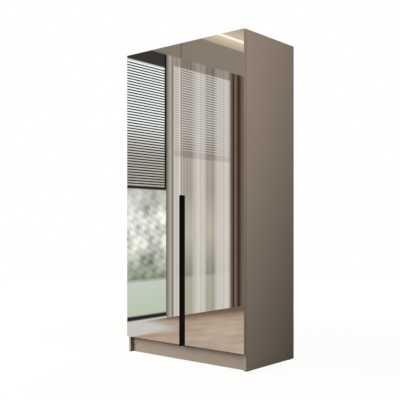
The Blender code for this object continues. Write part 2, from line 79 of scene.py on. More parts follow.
# Studio set that only the mirrors see: four walls, a floor and a ceiling
SET_LEFT_X = -1.48
SET_RIGHT_X = 4.4
SET_FRONT_Y = -6.0
SET_REAR_Y = 4.0
SET_FLOOR_Z = 0.5 * MM
SET_CEILING_Z = 2.934
SET_GAIN = 1.12                 # makes up for what silver and glass take away
SET_GRAIN = 0.007               # spacing of the grid that carries its tones
SET_SOFT = 2 * SET_GRAIN        # width over which one tone turns into the next
PLAIN_GRAIN = 0.02              # spacing where the tones change little
REAR_GRAIN = 0.03
FLOOR_GRAIN = 0.015
PLAIN_LOW_Z, PLAIN_HIGH_Z = 1.5, 2.35
PLAIN_DEEP = 3.2                # from the mirrors
PLAIN_FLOOR_X, PLAIN_FLOOR_Y = 0.9, -3.7

# Its tones, each from one end of a change to the other
SET_TONES = {
    "wall": ("#8F8376", "#85796D"),
    "scrim": ("#A0948D", "#DCD4CE"),
    "heading": ("#665A4E", "#958B80"),
    "drape": ("#3A2A1F", "#75645A"),
    "drape_edge": ("#857A70", "#B5AAA0"),
    "header": ("#80756B", "#8C7F72"),
    "cove": ("#BFA995", "#DAC8B2"),
    # Boards: painted light, then painted shade
    "lit_then_shaded_boards": ("#CFC7C2", "#705D51"),
    "pile": ("#B59885", "#BAA594"),
    "ceiling": ("#D2BCA0", "#A08F7E"),
}
COVE_LINE_TONE = "#FFFAEC"
FRAME_TONE = "#2A2724"
SLAT_TONE = "#2B2724"
SLAT_BOX_TONE = "#3A3733"
CHANNEL_TONE = "#1F1C1A"
SILL_TONE = "#CFC7C2"
SCRIM_TINT = "#E6DCD3"          # of what shows through it
VEILED_FOOT_TONE = "#857B73"
FAR_FLOOR_TONE = "#DAD6D0"

# Walls: heights, and the ranges over which tones change
WALL_FADE_Z = (0.4, 2.2)
HEADER_Z = 2.551
HEADER_FADE = (0.9, 2.1)
COVE_Z = 2.818
COVE_LINE_Z = 2.908
COVE_LINE_SOFT = 0.008
SILL_Z = 0.025
CEILING_FADE = 0.4

# Slatted panel before a painted sheet
PANEL_FRAME = 0.018
PANEL_FOOT = 0.043
FRAME_SOFT = (0.6, 1.0)         # shares of the frame's width
SLAT_PITCH = 0.025
SLAT_SHARE = 0.47               # of the pitch
SLATS_LOW, SLATS_HIGH = 1.259, 2.403
SLAT_FOOT = 0.02
CHANNEL = 0.035                 # dark guide at the slats' end
# The sheet, out of focus: height, colour
BACKDROP = ((0.07, "#C0C8B3"), (0.36, "#C8CFC4"), (0.40, "#868D79"), (0.80, "#E2E0D8"), (1.0, "#DAD8D2"),
            (1.26, "#B9B4AB"), (1.55, "#C6C0B8"), (1.85, "#FFFFFF"))
PATCHES_START_Z = (0.36, 0.42)
PATCHES_END_Z = (0.9, 1.5)
PATCH_CONTRAST = 0.32

# Scrim over a sheet and slats, and drapes
SCRIM_FALL = 0.51               # beat of the scrim's broad falls
FIRST_FALL = 0.38               # from the scrim's edge
FALL_EDGE = (0.15, 0.65)
SCRIM_PLEAT = 0.068
PLEAT_SHARE = 0.35
SCRIM_THIN, SCRIM_THICK = 0.5, 0.9          # how much the cloth covers, beside a fall and in it
HEADING_SHARE = 0.85
VEILED_LOW, VEILED_HIGH = 1.628, 2.444      # the slats behind the scrim
VEILED_SHARE = 0.62
FALL_HIDES = 0.6                # share of the slats that a fall hides
VEILED_FOOT = 0.055
FOOT_SHARE, FOOT_HIDDEN = 0.7, 0.4
DRAPE_PLEATS = {"drape": 0.095, "drape_edge": 0.053}

# What hangs on each wall: kind, then where it starts and ends along the wall
LEFT_HANGINGS = (("scrim", -3.4, -2.2), ("panel", -1.9, -0.9), ("panel", 0.441, 1.448),
                 ("drape_edge", 1.448, 1.552), ("scrim", 1.552, 2.453), ("drape", 2.453, 3.124),
                 ("scrim", 3.9, 5.0))
FRONT_HANGINGS = (("drape", -0.80, -0.62), ("scrim", -0.62, 0.72), ("drape", 0.72, 0.90), ("panel", 2.2, 3.6))
RIGHT_HANGINGS = (("scrim", -3.2, -1.8), ("panel", -1.2, 0.0), ("panel", 0.6, 1.7), ("scrim", 1.7, 3.2),
                  ("drape", 3.2, 3.6))
REAR_HANGINGS = (("panel", -0.4, 0.8), ("scrim", 1.2, 2.9), ("drape", 2.9, 3.3))

# Set's floor, by the distance from the mirrors
# The boards' painted light near the mirrors turns to painted shade over this range
BOARDS_FADE = (1.0, 1.45)
PILE_EDGE_X = -0.945            # where the pile begins, off the left wall
PILE_BEND = 0.4                 # how far its edge then bends left
PILE_BEND_AT = (0.9, 1.3)
PILE_SLANT = 0.25               # and how fast it comes back
PILE_FADE = 0.5
PILE_MOTTLE = 0.09
MOTTLE_BEAT = 0.6
PILE_SHARP, PILE_SOFT = 0.02, 0.25          # width of its edge near by, and what is added further off
PILE_SOFTENS = (0.5, 1.1)
FAR_FLOOR_X = (0.25, 0.9)
FAR_FLOOR_Y = (3.1, 3.6)        # forwards

# Patches: sines of rising beat and falling share
PATCH_SINES = 11
FIRST_BEAT, BEAT_GROWTH = 14, 1.35
SHARE_FALL = 0.9
PATCH_TURN = 2.4                # angle from one sine's direction to the next
PATCH_PHASE = 1.3
PLEAT_WANDER = 1.7              # how far a pleat's beat wanders, and over how many pleats
WANDER_OVER = 3.7

# Finishes
TAUPE_LOW = "#AA9C90"
TAUPE_HIGH = "#B4A69A"
GLASS_IOR = 1.52

# Sockets of a Mix node for colours: given by number, because other kinds of value share their names
MIX_SHARE, MIX_A, MIX_B, MIX_COLOUR = 0, 6, 7, 2

# Mirrors and handle
SMOOTH_UP_TO = math.radians(30)         # edges past this angle stay sharp
MIRROR_SMOOTH_UP_TO = math.radians(20)
MIRROR_ARRIS = 0.7 * MM
SEAM_SHADE_WITHIN = 20.0 * MM       # of the middle, where the two sheets' edges are painted dark as shade in the seam
HANDLE_EDGE = 0.9 * MM
HANDLE_END = 0.4 * MM           # taken off the rims of both ends
HANDLE_BLADE = 7.2 * MM

# Hinges: steps are from the middle of the cup's mouth, "back" from the door's rear face
HINGES = (1, 2, 3, 4)
CUP_RIM = 19.0 * MM
CUP_OUTER = 17.5 * MM
CUP_CAVITY = 16.3 * MM
CUP_DEEP = 12.0 * MM
CUP_FLOOR = 11.0 * MM
CUP_EASE = 0.25 * MM
CUP_BEVEL = 0.8 * MM            # round the cavity's mouth
CUP_FILLET = 1.0 * MM           # round the cavity's floor
CUP_SIDES = 144
EAR_REACH = 30.0 * MM
EAR_INNER = 12.0 * MM           # ear's inner edge from the cup's middle
EAR_OUTER = 2.0 * MM
EAR_TOP = 1.0 * MM
EAR_SCREW_STEP = np.array((5.0, 1.0, 24.0)) * MM
CUP_PIN_RADIUS = 1.2 * MM
CUP_PIN_HALF = 9.0 * MM
CUP_PIN_STEP = np.array((-12.54, -4.73, 0)) * MM
CUP_PIN_SIDES = 16
PLATE_BASE = 2.5 * MM
WING_SCREW_STEP = np.array((0, 0, 16.0)) * MM
WING_SCREW_BACK = 39.0 * MM
ARM_SCREWS_BACK = (30.0 * MM, 51.0 * MM)
EAR_SCREW = (3.6 * MM, 1.1 * MM)        # radius and height of the head
PLATE_SCREW = (3.8 * MM, 1.3 * MM)
ARM_SCREW = (3.2 * MM, 0.9 * MM)
SCREW_SIDES = 32
# Flank and crown, as shares of the head's radius and height
HEAD_ROWS = ((1.0, 0.0), (1.0, 0.3), (0.86, 0.8), (0.62, 1.0))
# The recess, as shares of its outline and of the head's height
RECESS_ROWS = ((1.0, 1.0), (0.85, 0.35))
RECESS_CORE, RECESS_ARM, RECESS_POWER = 0.16, 0.36, 6

# Clothes rail and its sockets
OVAL_SIDES = 48
RAIL_WALL = 1.2 * MM
RAIL_EASE = 0.2 * MM
SOCKET_LIP = 6.0 * MM           # flange round the collar
SOCKET_PLATE = 2.5 * MM
SOCKET_EASE = 0.4 * MM

# Small turned pieces: rows of radius and height, sides, and places
PIN_ROWS = np.array(((3.6, 0), (3.6, 1.0), (2.5, 1.0), (2.5, 8.6), (2.1, 9.0))) * MM
PIN_SIDES = 20
PIN_RADIUS = 2.5 * MM
PIN_INSET = 37.0 * MM           # from the shelf's front and rear edges
NAIL_ROWS = np.array(((2.2, 0), (2.2, 0.4), (1.6, 0.8))) * MM
NAIL_SIDES = 16
NAILS_UP, NAILS_ACROSS = 13, 10
NAIL_END_UP = 80.0 * MM         # from the last nail to the panel's or the sheet's end
NAIL_END_ACROSS = 30.0 * MM
BUMPER_ROWS = np.array(((3.5, 0), (3.5, 0.4), (3.0, 1.1), (2.0, 1.5), (0.8, 1.6))) * MM
BUMPER_SIDES = 24
BUMPER_INSET = 40.0 * MM        # from the middle of the wardrobe

AXES = {                        # across, up, along: right-handed
    "+x": np.array([(0, 1, 0), (0, 0, 1), (1, 0, 0)], float),
    "-x": np.array([(0, 0, 1), (0, 1, 0), (-1, 0, 0)], float),
    "+y": np.array([(0, 0, 1), (1, 0, 0), (0, 1, 0)], float),
    "-y": np.array([(1, 0, 0), (0, 0, 1), (0, -1, 0)], float),
    "+z": np.array([(1, 0, 0), (0, 1, 0), (0, 0, 1)], float),
}


def linear(colour):
    """An sRGB hex colour as linear red, green, blue and alpha."""
    srgb = np.array([int(colour[i:i + 2], 16) for i in (1, 3, 5)]) / 255
    light = np.where(srgb <= 0.04045, srgb / 12.92, ((srgb + 0.055) / 1.055) ** 2.4)
    return (*light.tolist(), 1.0)


def per_mm(size):
    """A texture's scale for a feature of this many millimetres."""
    return 1000 / size


def node(tree, kind, sockets=None, **settings):
    """Adds one node. settings are its own properties; sockets gives an input a value or another's output."""
    made = tree.nodes.new("ShaderNode" + kind)
    for key, value in settings.items():
        setattr(made, key, value)
    for key, value in (sockets or {}).items():
        if isinstance(value, bpy.types.NodeSocket):
            tree.links.new(value, made.inputs[key])
        else:
            made.inputs[key].default_value = value
    return made


def blank(name):
    """A material with nothing in its tree."""
    made = bpy.data.materials.new(name)
    made.use_nodes = True
    made.node_tree.nodes.clear()
    return made, made.node_tree


def finished(made, tree, shader):
    """The material with the shader joined to its output."""
    node(tree, "OutputMaterial", {"Surface": shader.outputs[0]})
    return made


def melamine_chipboard():
    """Printed paper sealed in melamine resin, pressed on a fine plate: even taupe, satin, faintly clouded."""
    made, tree = blank("melamine_chipboard")
    place = node(tree, "TexCoord").outputs["Object"]
    cloud = node(tree, "TexNoise", {"Vector": place, "Scale": per_mm(260), "Detail": 2.0})
    # The print's flecks are under half a millimetre; drawn at 4 mm so that they show
    fleck = node(tree, "TexNoise", {"Vector": place, "Scale": per_mm(4), "Detail": 2.0})
    both = node(tree, "Mix", {"Factor": 0.35, "A": cloud.outputs[0], "B": fleck.outputs[0]})
    colour = node(tree, "Mix", {
        MIX_SHARE: both.outputs[0], MIX_A: linear(TAUPE_LOW), MIX_B: linear(TAUPE_HIGH)}, data_type="RGBA")
    satin = node(tree, "MapRange", {
        "Value": fleck.outputs[0], "From Min": 0.3, "From Max": 0.7, "To Min": 0.44, "To Max": 0.54})
    # The plate's pore is 0.5 mm; drawn at 2 mm
    pore = node(tree, "TexNoise", {"Vector": place, "Scale": per_mm(2), "Detail": 3.0})
    relief = node(tree, "Bump", {"Height": pore.outputs[0], "Strength": 0.08, "Distance": 0.2 * MM})
    return finished(made, tree, node(tree, "BsdfPrincipled", {
        "Base Color": colour.outputs[MIX_COLOUR], "Roughness": satin.outputs[0], "Specular IOR Level": 0.15,
        "Normal": relief.outputs[0]}))


def silvered_glass():
    """Float glass with silver on its back: a clean, slightly green reflection, barely hazed by wiping."""
    made, tree = blank("silvered_glass")
    place = node(tree, "TexCoord").outputs["Object"]
    wiped = node(tree, "TexNoise", {"Vector": place, "Scale": per_mm(90), "Detail": 4.0, "Distortion": 0.6})
    haze = node(tree, "MapRange", {
        "Value": wiped.outputs[0], "From Min": 0.45, "From Max": 0.75, "To Min": 0.006, "To Max": 0.022})
    tint = node(tree, "Mix", {
        MIX_SHARE: wiped.outputs[0], MIX_A: linear("#EEF2EF"), MIX_B: linear("#E8EDEA")}, data_type="RGBA")
    return finished(made, tree, node(tree, "BsdfPrincipled", {
        "Base Color": tint.outputs[MIX_COLOUR], "Metallic": 1.0, "Roughness": haze.outputs[0]}))


def glass_edge():
    """Edge of the sheet: polished, grey-green from iron, and painted black-green where the doors meet, as
    shade in the seam between them.
    """
    made, tree = blank("polished_glass_edge")
    place = node(tree, "TexCoord").outputs["Object"]
    streak = node(tree, "TexNoise", {"Vector": place, "Scale": per_mm(12), "Detail": 2.0})
    clear = node(tree, "Mix", {
        MIX_SHARE: streak.outputs[0], MIX_A: linear("#707D74"), MIX_B: linear("#8F9B91")}, data_type="RGBA")
    across = node(tree, "SeparateXYZ", {"Vector": place}).outputs["X"]
    # Painted shade: the edges near the middle, where the doors meet, turn black-green
    inner = node(tree, "Math", {0: across, 1: 0.0, 2: SEAM_SHADE_WITHIN}, operation="COMPARE")
    tint = node(tree, "Mix", {
        MIX_SHARE: inner.outputs[0], MIX_A: clear.outputs[MIX_COLOUR], MIX_B: linear("#2A332E")},
        data_type="RGBA")
    return finished(made, tree, node(tree, "BsdfPrincipled", {
        "Base Color": tint.outputs[MIX_COLOUR], "Roughness": 0.12, "IOR": GLASS_IOR}))


def black_anodised_aluminium():
    """Extruded, brushed along its length and dyed black: deep black with a thin satin line of light."""
    made, tree = blank("black_anodised_aluminium")
    place = node(tree, "TexCoord").outputs["Object"]
    # Brush lines are 0.1 mm; drawn 1.2 mm wide and 150 mm long
    along = node(tree, "Mapping", {"Vector": place, "Scale": (per_mm(1.2), per_mm(1.2), per_mm(150))})
    brushed = node(tree, "TexNoise", {"Vector": along.outputs[0], "Scale": 1.0, "Detail": 2.0})
    dye = node(tree, "Mix", {
        MIX_SHARE: brushed.outputs[0], MIX_A: linear("#040404"), MIX_B: linear("#090909")}, data_type="RGBA")
    satin = node(tree, "MapRange", {"Value": brushed.outputs[0], "To Min": 0.34, "To Max": 0.46})
    relief = node(tree, "Bump", {"Height": brushed.outputs[0], "Strength": 0.1, "Distance": 0.05 * MM})
    return finished(made, tree, node(tree, "BsdfPrincipled", {
        "Base Color": dye.outputs[MIX_COLOUR], "Roughness": satin.outputs[0], "Specular IOR Level": 0.08,
        "Normal": relief.outputs[0]}))


def plated_steel(name, low, high, smooth, dull):
    """Steel pressed or drawn, then plated: a metal whose polish changes a little from place to place."""
    made, tree = blank(name)
    place = node(tree, "TexCoord").outputs["Object"]
    bath = node(tree, "TexNoise", {"Vector": place, "Scale": per_mm(7), "Detail": 3.0})
    tint = node(tree, "Mix", {
        MIX_SHARE: bath.outputs[0], MIX_A: linear(low), MIX_B: linear(high)}, data_type="RGBA")
    polish = node(tree, "MapRange", {
        "Value": bath.outputs[0], "From Min": 0.3, "From Max": 0.7, "To Min": smooth, "To Max": dull})
    return finished(made, tree, node(tree, "BsdfPrincipled", {
        "Base Color": tint.outputs[MIX_COLOUR], "Metallic": 1.0, "Roughness": polish.outputs[0]}))


def hardboard(face_y):
    """Pressed wood fibre: printed taupe on the side that faces the clothes, raw brown fibres on the back."""
    made, tree = blank("faced_hardboard")
    place = node(tree, "TexCoord").outputs["Object"]
    # Fibres are 0.2 mm by 3 mm; drawn 2 mm by 14 mm
    lie = node(tree, "Mapping", {"Vector": place, "Scale": (per_mm(14), per_mm(5), per_mm(2))})
    fibre = node(tree, "TexNoise", {"Vector": lie.outputs[0], "Scale": 1.0, "Detail": 3.0, "Distortion": 0.8})
    raw = node(tree, "Mix", {
        MIX_SHARE: fibre.outputs[0], MIX_A: linear("#93775C"), MIX_B: linear("#BDA183")}, data_type="RGBA")
    depth = node(tree, "SeparateXYZ", {"Vector": place}).outputs["Y"]
    behind = node(tree, "Math", {0: depth, 1: face_y}, operation="GREATER_THAN")
    colour = node(tree, "Mix", {
        MIX_SHARE: behind.outputs[0], MIX_A: linear(TAUPE_HIGH), MIX_B: raw.outputs[MIX_COLOUR]},
        data_type="RGBA")
    relief = node(tree, "Bump", {"Height": fibre.outputs[0], "Strength": 0.15, "Distance": 0.2 * MM})
    return finished(made, tree, node(tree, "BsdfPrincipled", {
        "Base Color": colour.outputs[MIX_COLOUR], "Roughness": 0.62, "Specular IOR Level": 0.3,
        "Normal": relief.outputs[0]}))


def moulded_plastic(name, low, high, roughness):
    """Injection-moulded or extruded polymer: one colour with a soft, slightly mottled skin."""
    made, tree = blank(name)
    place = node(tree, "TexCoord").outputs["Object"]
    skin = node(tree, "TexNoise", {"Vector": place, "Scale": per_mm(3), "Detail": 2.0})
    tint = node(tree, "Mix", {
        MIX_SHARE: skin.outputs[0], MIX_A: linear(low), MIX_B: linear(high)}, data_type="RGBA")
    relief = node(tree, "Bump", {"Height": skin.outputs[0], "Strength": 0.1, "Distance": 0.1 * MM})
    return finished(made, tree, node(tree, "BsdfPrincipled", {
        "Base Color": tint.outputs[MIX_COLOUR], "Roughness": roughness, "Normal": relief.outputs[0]}))


def loft(rings, closed=False):
    """A skin over rings of equal count, shaped (rings, points, 3): quads join each ring to the next.

    A closed loft also joins the last ring to the first; an open one is capped by a polygon at each end.
    Points run anticlockwise seen from the end, so faces point outwards.
    """
    count, around = rings.shape[:2]
    here = np.arange(count if closed else count - 1)[:, None]
    there = (here + 1) % count
    one = np.arange(around)[None]
    two = (one + 1) % around
    here, there = here * around, there * around
    quads = np.stack([here + one, here + two, there + two, there + one], -1)
    faces = [quads.reshape(-1, 4)]
    if not closed:
        ends = np.arange(around)
        faces += [ends[None, ::-1], ends[None] + (count - 1) * around]
    return rings.reshape(-1, 3), faces


def circle(sides):
    """Angles evenly round a circle."""
    return np.linspace(0, 2 * np.pi, sides, endpoint=False)


def turned(radius, height, axis, sides):
    """A turned shape: ring k is radius[k] * (cos t, sin t) across the axis, height[k] along it.

    A row of radius may hold one value for each t.
    """
    across, up, along = AXES[axis]
    t = circle(sides)[:, None]
    radius = np.stack([np.broadcast_to(np.asarray(row, float), sides) for row in radius])
    rings = radius[..., None] * (np.cos(t) * across + np.sin(t) * up)
    return loft(rings + np.asarray(height, float)[:, None, None] * along)


def placed(outlines, levels, axis):
    """Rings for a loft: each outline (across and up) at its level along the axis."""
    across, up, along = AXES[axis]
    return np.stack([plan[:, :1] * across + plan[:, 1:] * up + level * along
                     for plan, level in zip(outlines, levels)])


def inset(outline, amount):
    """An outline moved inwards: each corner along the mitre of the two edges that meet there."""
    edge = np.roll(outline, -1, 0) - outline
    normal = np.stack([-edge[:, 1], edge[:, 0]], 1) / np.linalg.norm(edge, axis=1)[:, None]
    before = np.roll(normal, 1, 0)
    spread = 1 + (before * normal).sum(1)
    return outline + amount * (before + normal) / spread[:, None]


def slab(outline, start, end, axis, arris):
    """An outline (anticlockwise, across and up) carried along an axis, both rims taken off by an arris."""
    outline = np.asarray(outline, float)
    small = inset(outline, arris)
    return loft(placed((small, outline, outline, small), (start, start + arris, end - arris, end), axis))


def copies(shape, places):
    """The same shape at each place."""
    points, faces = shape
    places = np.asarray(places, float)
    step = np.arange(len(places))[:, None, None] * len(points)
    repeated = [(part[None] + step).reshape(-1, part.shape[1]) for part in faces]
    return (places[:, None] + points[None]).reshape(-1, 3), repeated


def joined(*shapes):
    """Several shapes as one."""
    starts = np.cumsum([0] + [len(points) for points, _ in shapes])
    faces = [part + start for (_, parts), start in zip(shapes, starts) for part in parts]
    return np.concatenate([points for points, _ in shapes]), faces


def mirrored(shape):
    """The other hand: x is negated and every face turned round."""
    points, faces = shape
    return points * (-1, 1, 1), [part[:, ::-1] for part in faces]


def make_object(name, shape, materials, smooth=SMOOTH_UP_TO):
    """A mesh object at the origin, smooth except at edges sharper than the given angle."""
    points, faces = shape
    mesh = bpy.data.meshes.new(name)
    mesh.from_pydata(points.tolist(), [], [face for part in faces for face in part.tolist()])
    mesh.shade_smooth()
    mesh.set_sharp_from_angle(angle=smooth)
    for material in materials:
        mesh.materials.append(material)
    made = bpy.data.objects.new(name, mesh)
    bpy.context.scene.collection.objects.link(made)
    return made


def piece(name, shape, material, body, replaces=()):
    """One piece of the object, riding on a body and dressed in the given material."""
    made = make_object(name, shape, [material])
    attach(made, body)
    if replaces:
        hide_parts(*replaces)


def corners(node_name):
    """A CAD node's lowest and highest corners at rest."""
    low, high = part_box(node_name)
    return np.array(low), np.array(high)


def make_mirrors(glass, edge):
    """Each door's sheet: its outline with a polished arris, cut back for the handle on the right door."""
    _, handle_high = corners("door_handle")
    for hand in ("left", "right"):
        low, high = corners(f"{hand}_door_mirror")
        outline = [(low[0], low[2]), (high[0], low[2]), (high[0], high[2]), (low[0], high[2])]
        if hand == "right":
            step = handle_high + FIT
            outline = [(step[0], low[2]), *outline[1:], (low[0], step[2]), (step[0], step[2])]
        shape = slab(outline, -high[1], -low[1], "-y", MIRROR_ARRIS)
        made = make_object(f"{hand}_mirror_sheet", shape, [edge, glass], MIRROR_SMOOTH_UP_TO)
        made.data.polygons[len(made.data.polygons) - 1].material_index = 1
        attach(made, f"{hand}_door")
        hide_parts(f"{hand}_door_mirror")


def eased(outline, radius, steps=6):
    """An outline with curved corners: (1 - s)^2 a + 2 s (1 - s) p + s^2 b.

    a and b lie a radius from the corner p, on the two edges that meet there, and s runs from 0 to 1.
    """
    outline = np.asarray(outline, float)
    steps_to = [np.roll(outline, turn, 0) - outline for turn in (1, -1)]
    start, end = (outline + radius * step / np.linalg.norm(step, axis=1)[:, None] for step in steps_to)
    start, corner, end = start[:, None], outline[:, None], end[:, None]
    s = np.linspace(0, 1, steps + 1)[:, None]
    return ((1 - s) ** 2 * start + 2 * s * (1 - s) * corner + s ** 2 * end).reshape(-1, 2)


def make_handle(black):
    """A stepped bar: a base let into the door's free edge, and a blade that stands proud of the mirror."""
    low, high = corners("door_handle")
    glass_y = corners("right_door_mirror")[0][1]
    near = high[0] - HANDLE_BLADE
    outline = [(high[0], low[1]), (high[0], high[1]), (low[0], high[1]), (low[0], glass_y), (near, glass_y),
               (near, low[1])]
    shape = slab(eased(outline, HANDLE_EDGE), low[2], high[2], "+z", HANDLE_END)
    piece("handle_bar", shape, black, "right_door", ["door_handle"])


def cup_shape():
    """A pressed cup: rings about +y, its flange the larger of the rim's circle and the ears' rectangle."""
    t = circle(CUP_SIDES)
    run_in = np.sin(t)          # share of the radius along x, inwards from the door's edge
    run_up = np.cos(t)
    reach_in = np.where(run_in > 0, EAR_INNER, EAR_OUTER) / np.maximum(np.abs(run_in), 1e-6)
    ears = np.minimum(reach_in, EAR_REACH / np.maximum(np.abs(run_up), 1e-6))
    flange = np.maximum(CUP_RIM, ears)
    rows = [(CUP_OUTER - CUP_EASE, -CUP_DEEP), (CUP_OUTER, -CUP_DEEP + CUP_EASE), (CUP_OUTER, FIT),
            (flange, FIT), (flange, EAR_TOP - CUP_EASE), (flange - CUP_EASE, EAR_TOP),
            (CUP_CAVITY + CUP_BEVEL, EAR_TOP), (CUP_CAVITY, EAR_TOP - CUP_BEVEL),
            (CUP_CAVITY, -CUP_FLOOR + CUP_FILLET), (CUP_CAVITY - CUP_FILLET, -CUP_FLOOR)]
    return turned(*zip(*rows), "+y", CUP_SIDES)


def screw_head(radius, height, axis):
    """A low domed head: rings up its flank, across its crown, then down into a four-armed recess."""
    arms = np.abs(np.cos(2 * circle(SCREW_SIDES))) ** RECESS_POWER
    recess = radius * (RECESS_CORE + RECESS_ARM * arms)
    rows = [(wide * radius, high * height) for wide, high in HEAD_ROWS]
    rows += [(wide * recess, high * height) for wide, high in RECESS_ROWS]
    return turned(*zip(*rows), axis, SCREW_SIDES)


def make_hinge_details(nickel, zinc):
    """Smooth cups in place of the faceted ones, and the screws of ears, plates and arms."""
    rear = corners("left_door_board")[1][1]
    cups = []
    plates = []
    arms = []
    for number in HINGES:
        low, high = corners(f"left_hinge_{number}_cup")
        cups.append((low[0] + CUP_RIM, rear, (low[2] + high[2]) / 2))
        low, high = corners(f"left_hinge_{number}_plate")
        plates.append((low[0] + PLATE_BASE, rear + WING_SCREW_BACK, (low[2] + high[2]) / 2))
        low, high = corners(f"left_hinge_{number}_arm")
        arms.append((high[0], rear, (low[2] + high[2]) / 2))
    cups, plates, arms = (np.array(rows) for rows in (cups, plates, arms))
    ears = np.concatenate([cups + EAR_SCREW_STEP, cups + EAR_SCREW_STEP * (1, 1, -1)])
    wings = np.concatenate([plates + WING_SCREW_STEP, plates - WING_SCREW_STEP])
    adjusters = np.concatenate([arms + (0, back, 0) for back in ARM_SCREWS_BACK])
    pin = turned([CUP_PIN_RADIUS, CUP_PIN_RADIUS], [-CUP_PIN_HALF, CUP_PIN_HALF], "+z", CUP_PIN_SIDES)
    cups_and_pins = joined(copies(cup_shape(), cups), copies(pin, cups + CUP_PIN_STEP))
    shapes = {
        "hinge_cups": (cups_and_pins, nickel, True),
        "ear_screws": (copies(screw_head(*EAR_SCREW, "+y"), ears), zinc, True),
        "plate_screws": (copies(screw_head(*PLATE_SCREW, "+x"), wings), zinc, False),
        "arm_screws": (copies(screw_head(*ARM_SCREW, "+x"), adjusters), zinc, False),
    }
    for hand in ("left", "right"):
        for kind, (shape, material, on_door) in shapes.items():
            replaced = [f"{hand}_hinge_{i}_cup" for i in HINGES] if kind == "hinge_cups" else []
            piece(f"{hand}_{kind}", shape if hand == "left" else mirrored(shape), material,
                  f"{hand}_door" if on_door else "carcass", replaced)


def oval(width, height):
    """An upright oval: half circles of the width's radius, moved apart to the height."""
    t = circle(OVAL_SIDES) + np.pi / OVAL_SIDES
    radius = width / 2
    apart = np.sign(np.sin(t)) * (height - width) / 2
    return np.stack([radius * np.cos(t), radius * np.sin(t) + apart], 1)


def make_rail(chrome):
    """A drawn oval tube: its outer skin carried one way, the inner one back. Sockets hold its ends."""
    low, high = corners("clothes_rail")
    middle = (low + high) / 2
    width, height = high[1] - low[1], high[2] - low[2]
    rows = [(RAIL_EASE, low[0]), (0, low[0] + RAIL_EASE), (0, high[0] - RAIL_EASE), (RAIL_EASE, high[0]),
            (RAIL_WALL, high[0]), (RAIL_WALL, low[0])]
    ovals = [oval(width - 2 * cut, height - 2 * cut) for cut, _ in rows]
    rings = placed(ovals, [level for _, level in rows], "+x")
    tube = loft(rings + middle * (0, 1, 1), closed=True)
    piece("rail_tube", tube, chrome, "carcass", ["clothes_rail"])

    flange_low, flange_high = corners("rail_socket_left")
    flange = (flange_high - flange_low)[1:]
    collar = flange - 2 * SOCKET_LIP
    bore = np.array((width, height)) + 2 * FIT
    wall_x, mouth_x = flange_low[0], flange_high[0]
    root_x = wall_x + SOCKET_PLATE
    rows = [(flange - 2 * SOCKET_EASE, wall_x), (flange, wall_x + SOCKET_EASE),
            (flange, root_x - SOCKET_EASE), (flange - 2 * SOCKET_EASE, root_x), (collar, root_x),
            (collar, mouth_x - SOCKET_EASE), (collar - 2 * SOCKET_EASE, mouth_x), (bore, mouth_x),
            (bore, root_x)]
    rings = placed([oval(*size) for size, _ in rows], [level for _, level in rows], "+x")
    socket = loft(rings + middle * (0, 1, 1))
    piece("left_rail_socket", socket, chrome, "carcass", ["rail_socket_left"])
    piece("right_rail_socket", copies(mirrored(socket), [(2 * middle[0], 0, 0)]), chrome, "carcass",
          ["rail_socket_right"])


def make_shelf_pins(nickel):
    """Turned pegs under each shelf, two at either end, with a collar against the panel."""
    shelves = [f"shelf_{i}" for i in range(1, 5)] + ["hat_shelf"]
    boxes = np.array([corners(name) for name in shelves])
    depths = (boxes[:, 0, 1] + PIN_INSET, boxes[:, 1, 1] - PIN_INSET)
    level = boxes[:, 0, 2] - PIN_RADIUS - FIT
    low_end = [np.stack([boxes[:, 0, 0], y, level], 1) for y in depths]
    high_end = [np.stack([boxes[:, 1, 0], y, level], 1) for y in depths]
    shape = joined(copies(turned(*PIN_ROWS.T, "+x", PIN_SIDES), np.concatenate(low_end)),
                   copies(turned(*PIN_ROWS.T, "-x", PIN_SIDES), np.concatenate(high_end)))
    piece("shelf_pins", shape, nickel, "carcass")


def make_back_nails(zinc):
    """Flat-headed nails round both back sheets, into the side, top and bottom panels' edges."""
    _, high = corners("back_panel_right")
    side_low, _ = corners("right_side_panel")
    top_low, top_high = corners("top_panel")
    base_low, base_high = corners("bottom_panel")
    upright = np.linspace(base_high[2] + NAIL_END_UP, top_low[2] - NAIL_END_UP, NAILS_UP)
    edge = np.full_like(upright, (side_low[0] + high[0]) / 2)
    columns = [np.stack([sign * edge, np.full_like(edge, high[1]), upright], 1) for sign in (-1, 1)]
    across = np.linspace(-high[0] + NAIL_END_ACROSS, high[0] - NAIL_END_ACROSS, NAILS_ACROSS)
    rows = [np.stack([across, np.full_like(across, high[1]), np.full_like(across, z)], 1)
            for z in ((top_low[2] + top_high[2]) / 2, (base_low[2] + base_high[2]) / 2)]
    head = turned(*NAIL_ROWS.T, "+y", NAIL_SIDES)
    piece("back_nails", copies(head, np.concatenate(columns + rows)), zinc, "carcass")


def make_bumpers(silicone):
    """Self-adhesive domes on each door's rear face, at its free corners, opposite top and bottom panels."""
    _, door_high = corners("left_door_board")
    levels = [sum(corners(name))[2] / 2 for name in ("top_panel", "bottom_panel")]
    dome = turned(*BUMPER_ROWS.T, "+y", BUMPER_SIDES)
    for hand, sign in (("left", -1), ("right", 1)):
        places = [(sign * BUMPER_INSET, door_high[1], level) for level in levels]
        piece(f"{hand}_door_bumpers", copies(dome, places), silicone, f"{hand}_door")


def dress_nodes(finishes):
    """Gives every CAD node the material of its kind: the last of these words that its name holds decides."""
    kinds = (("hinge", "nickel"), ("rail", "chrome"), ("socket", "chrome"), ("glide", "plastic"),
             ("strip", "plastic"), ("back_panel", "hardboard"), ("plinth_rail", "melamine"))
    for name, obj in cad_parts.items():
        finish = "melamine"
        for word, kind in kinds:
            if word in name:
                finish = kind
        obj.data.materials.clear()
        obj.data.materials.append(finishes[finish])


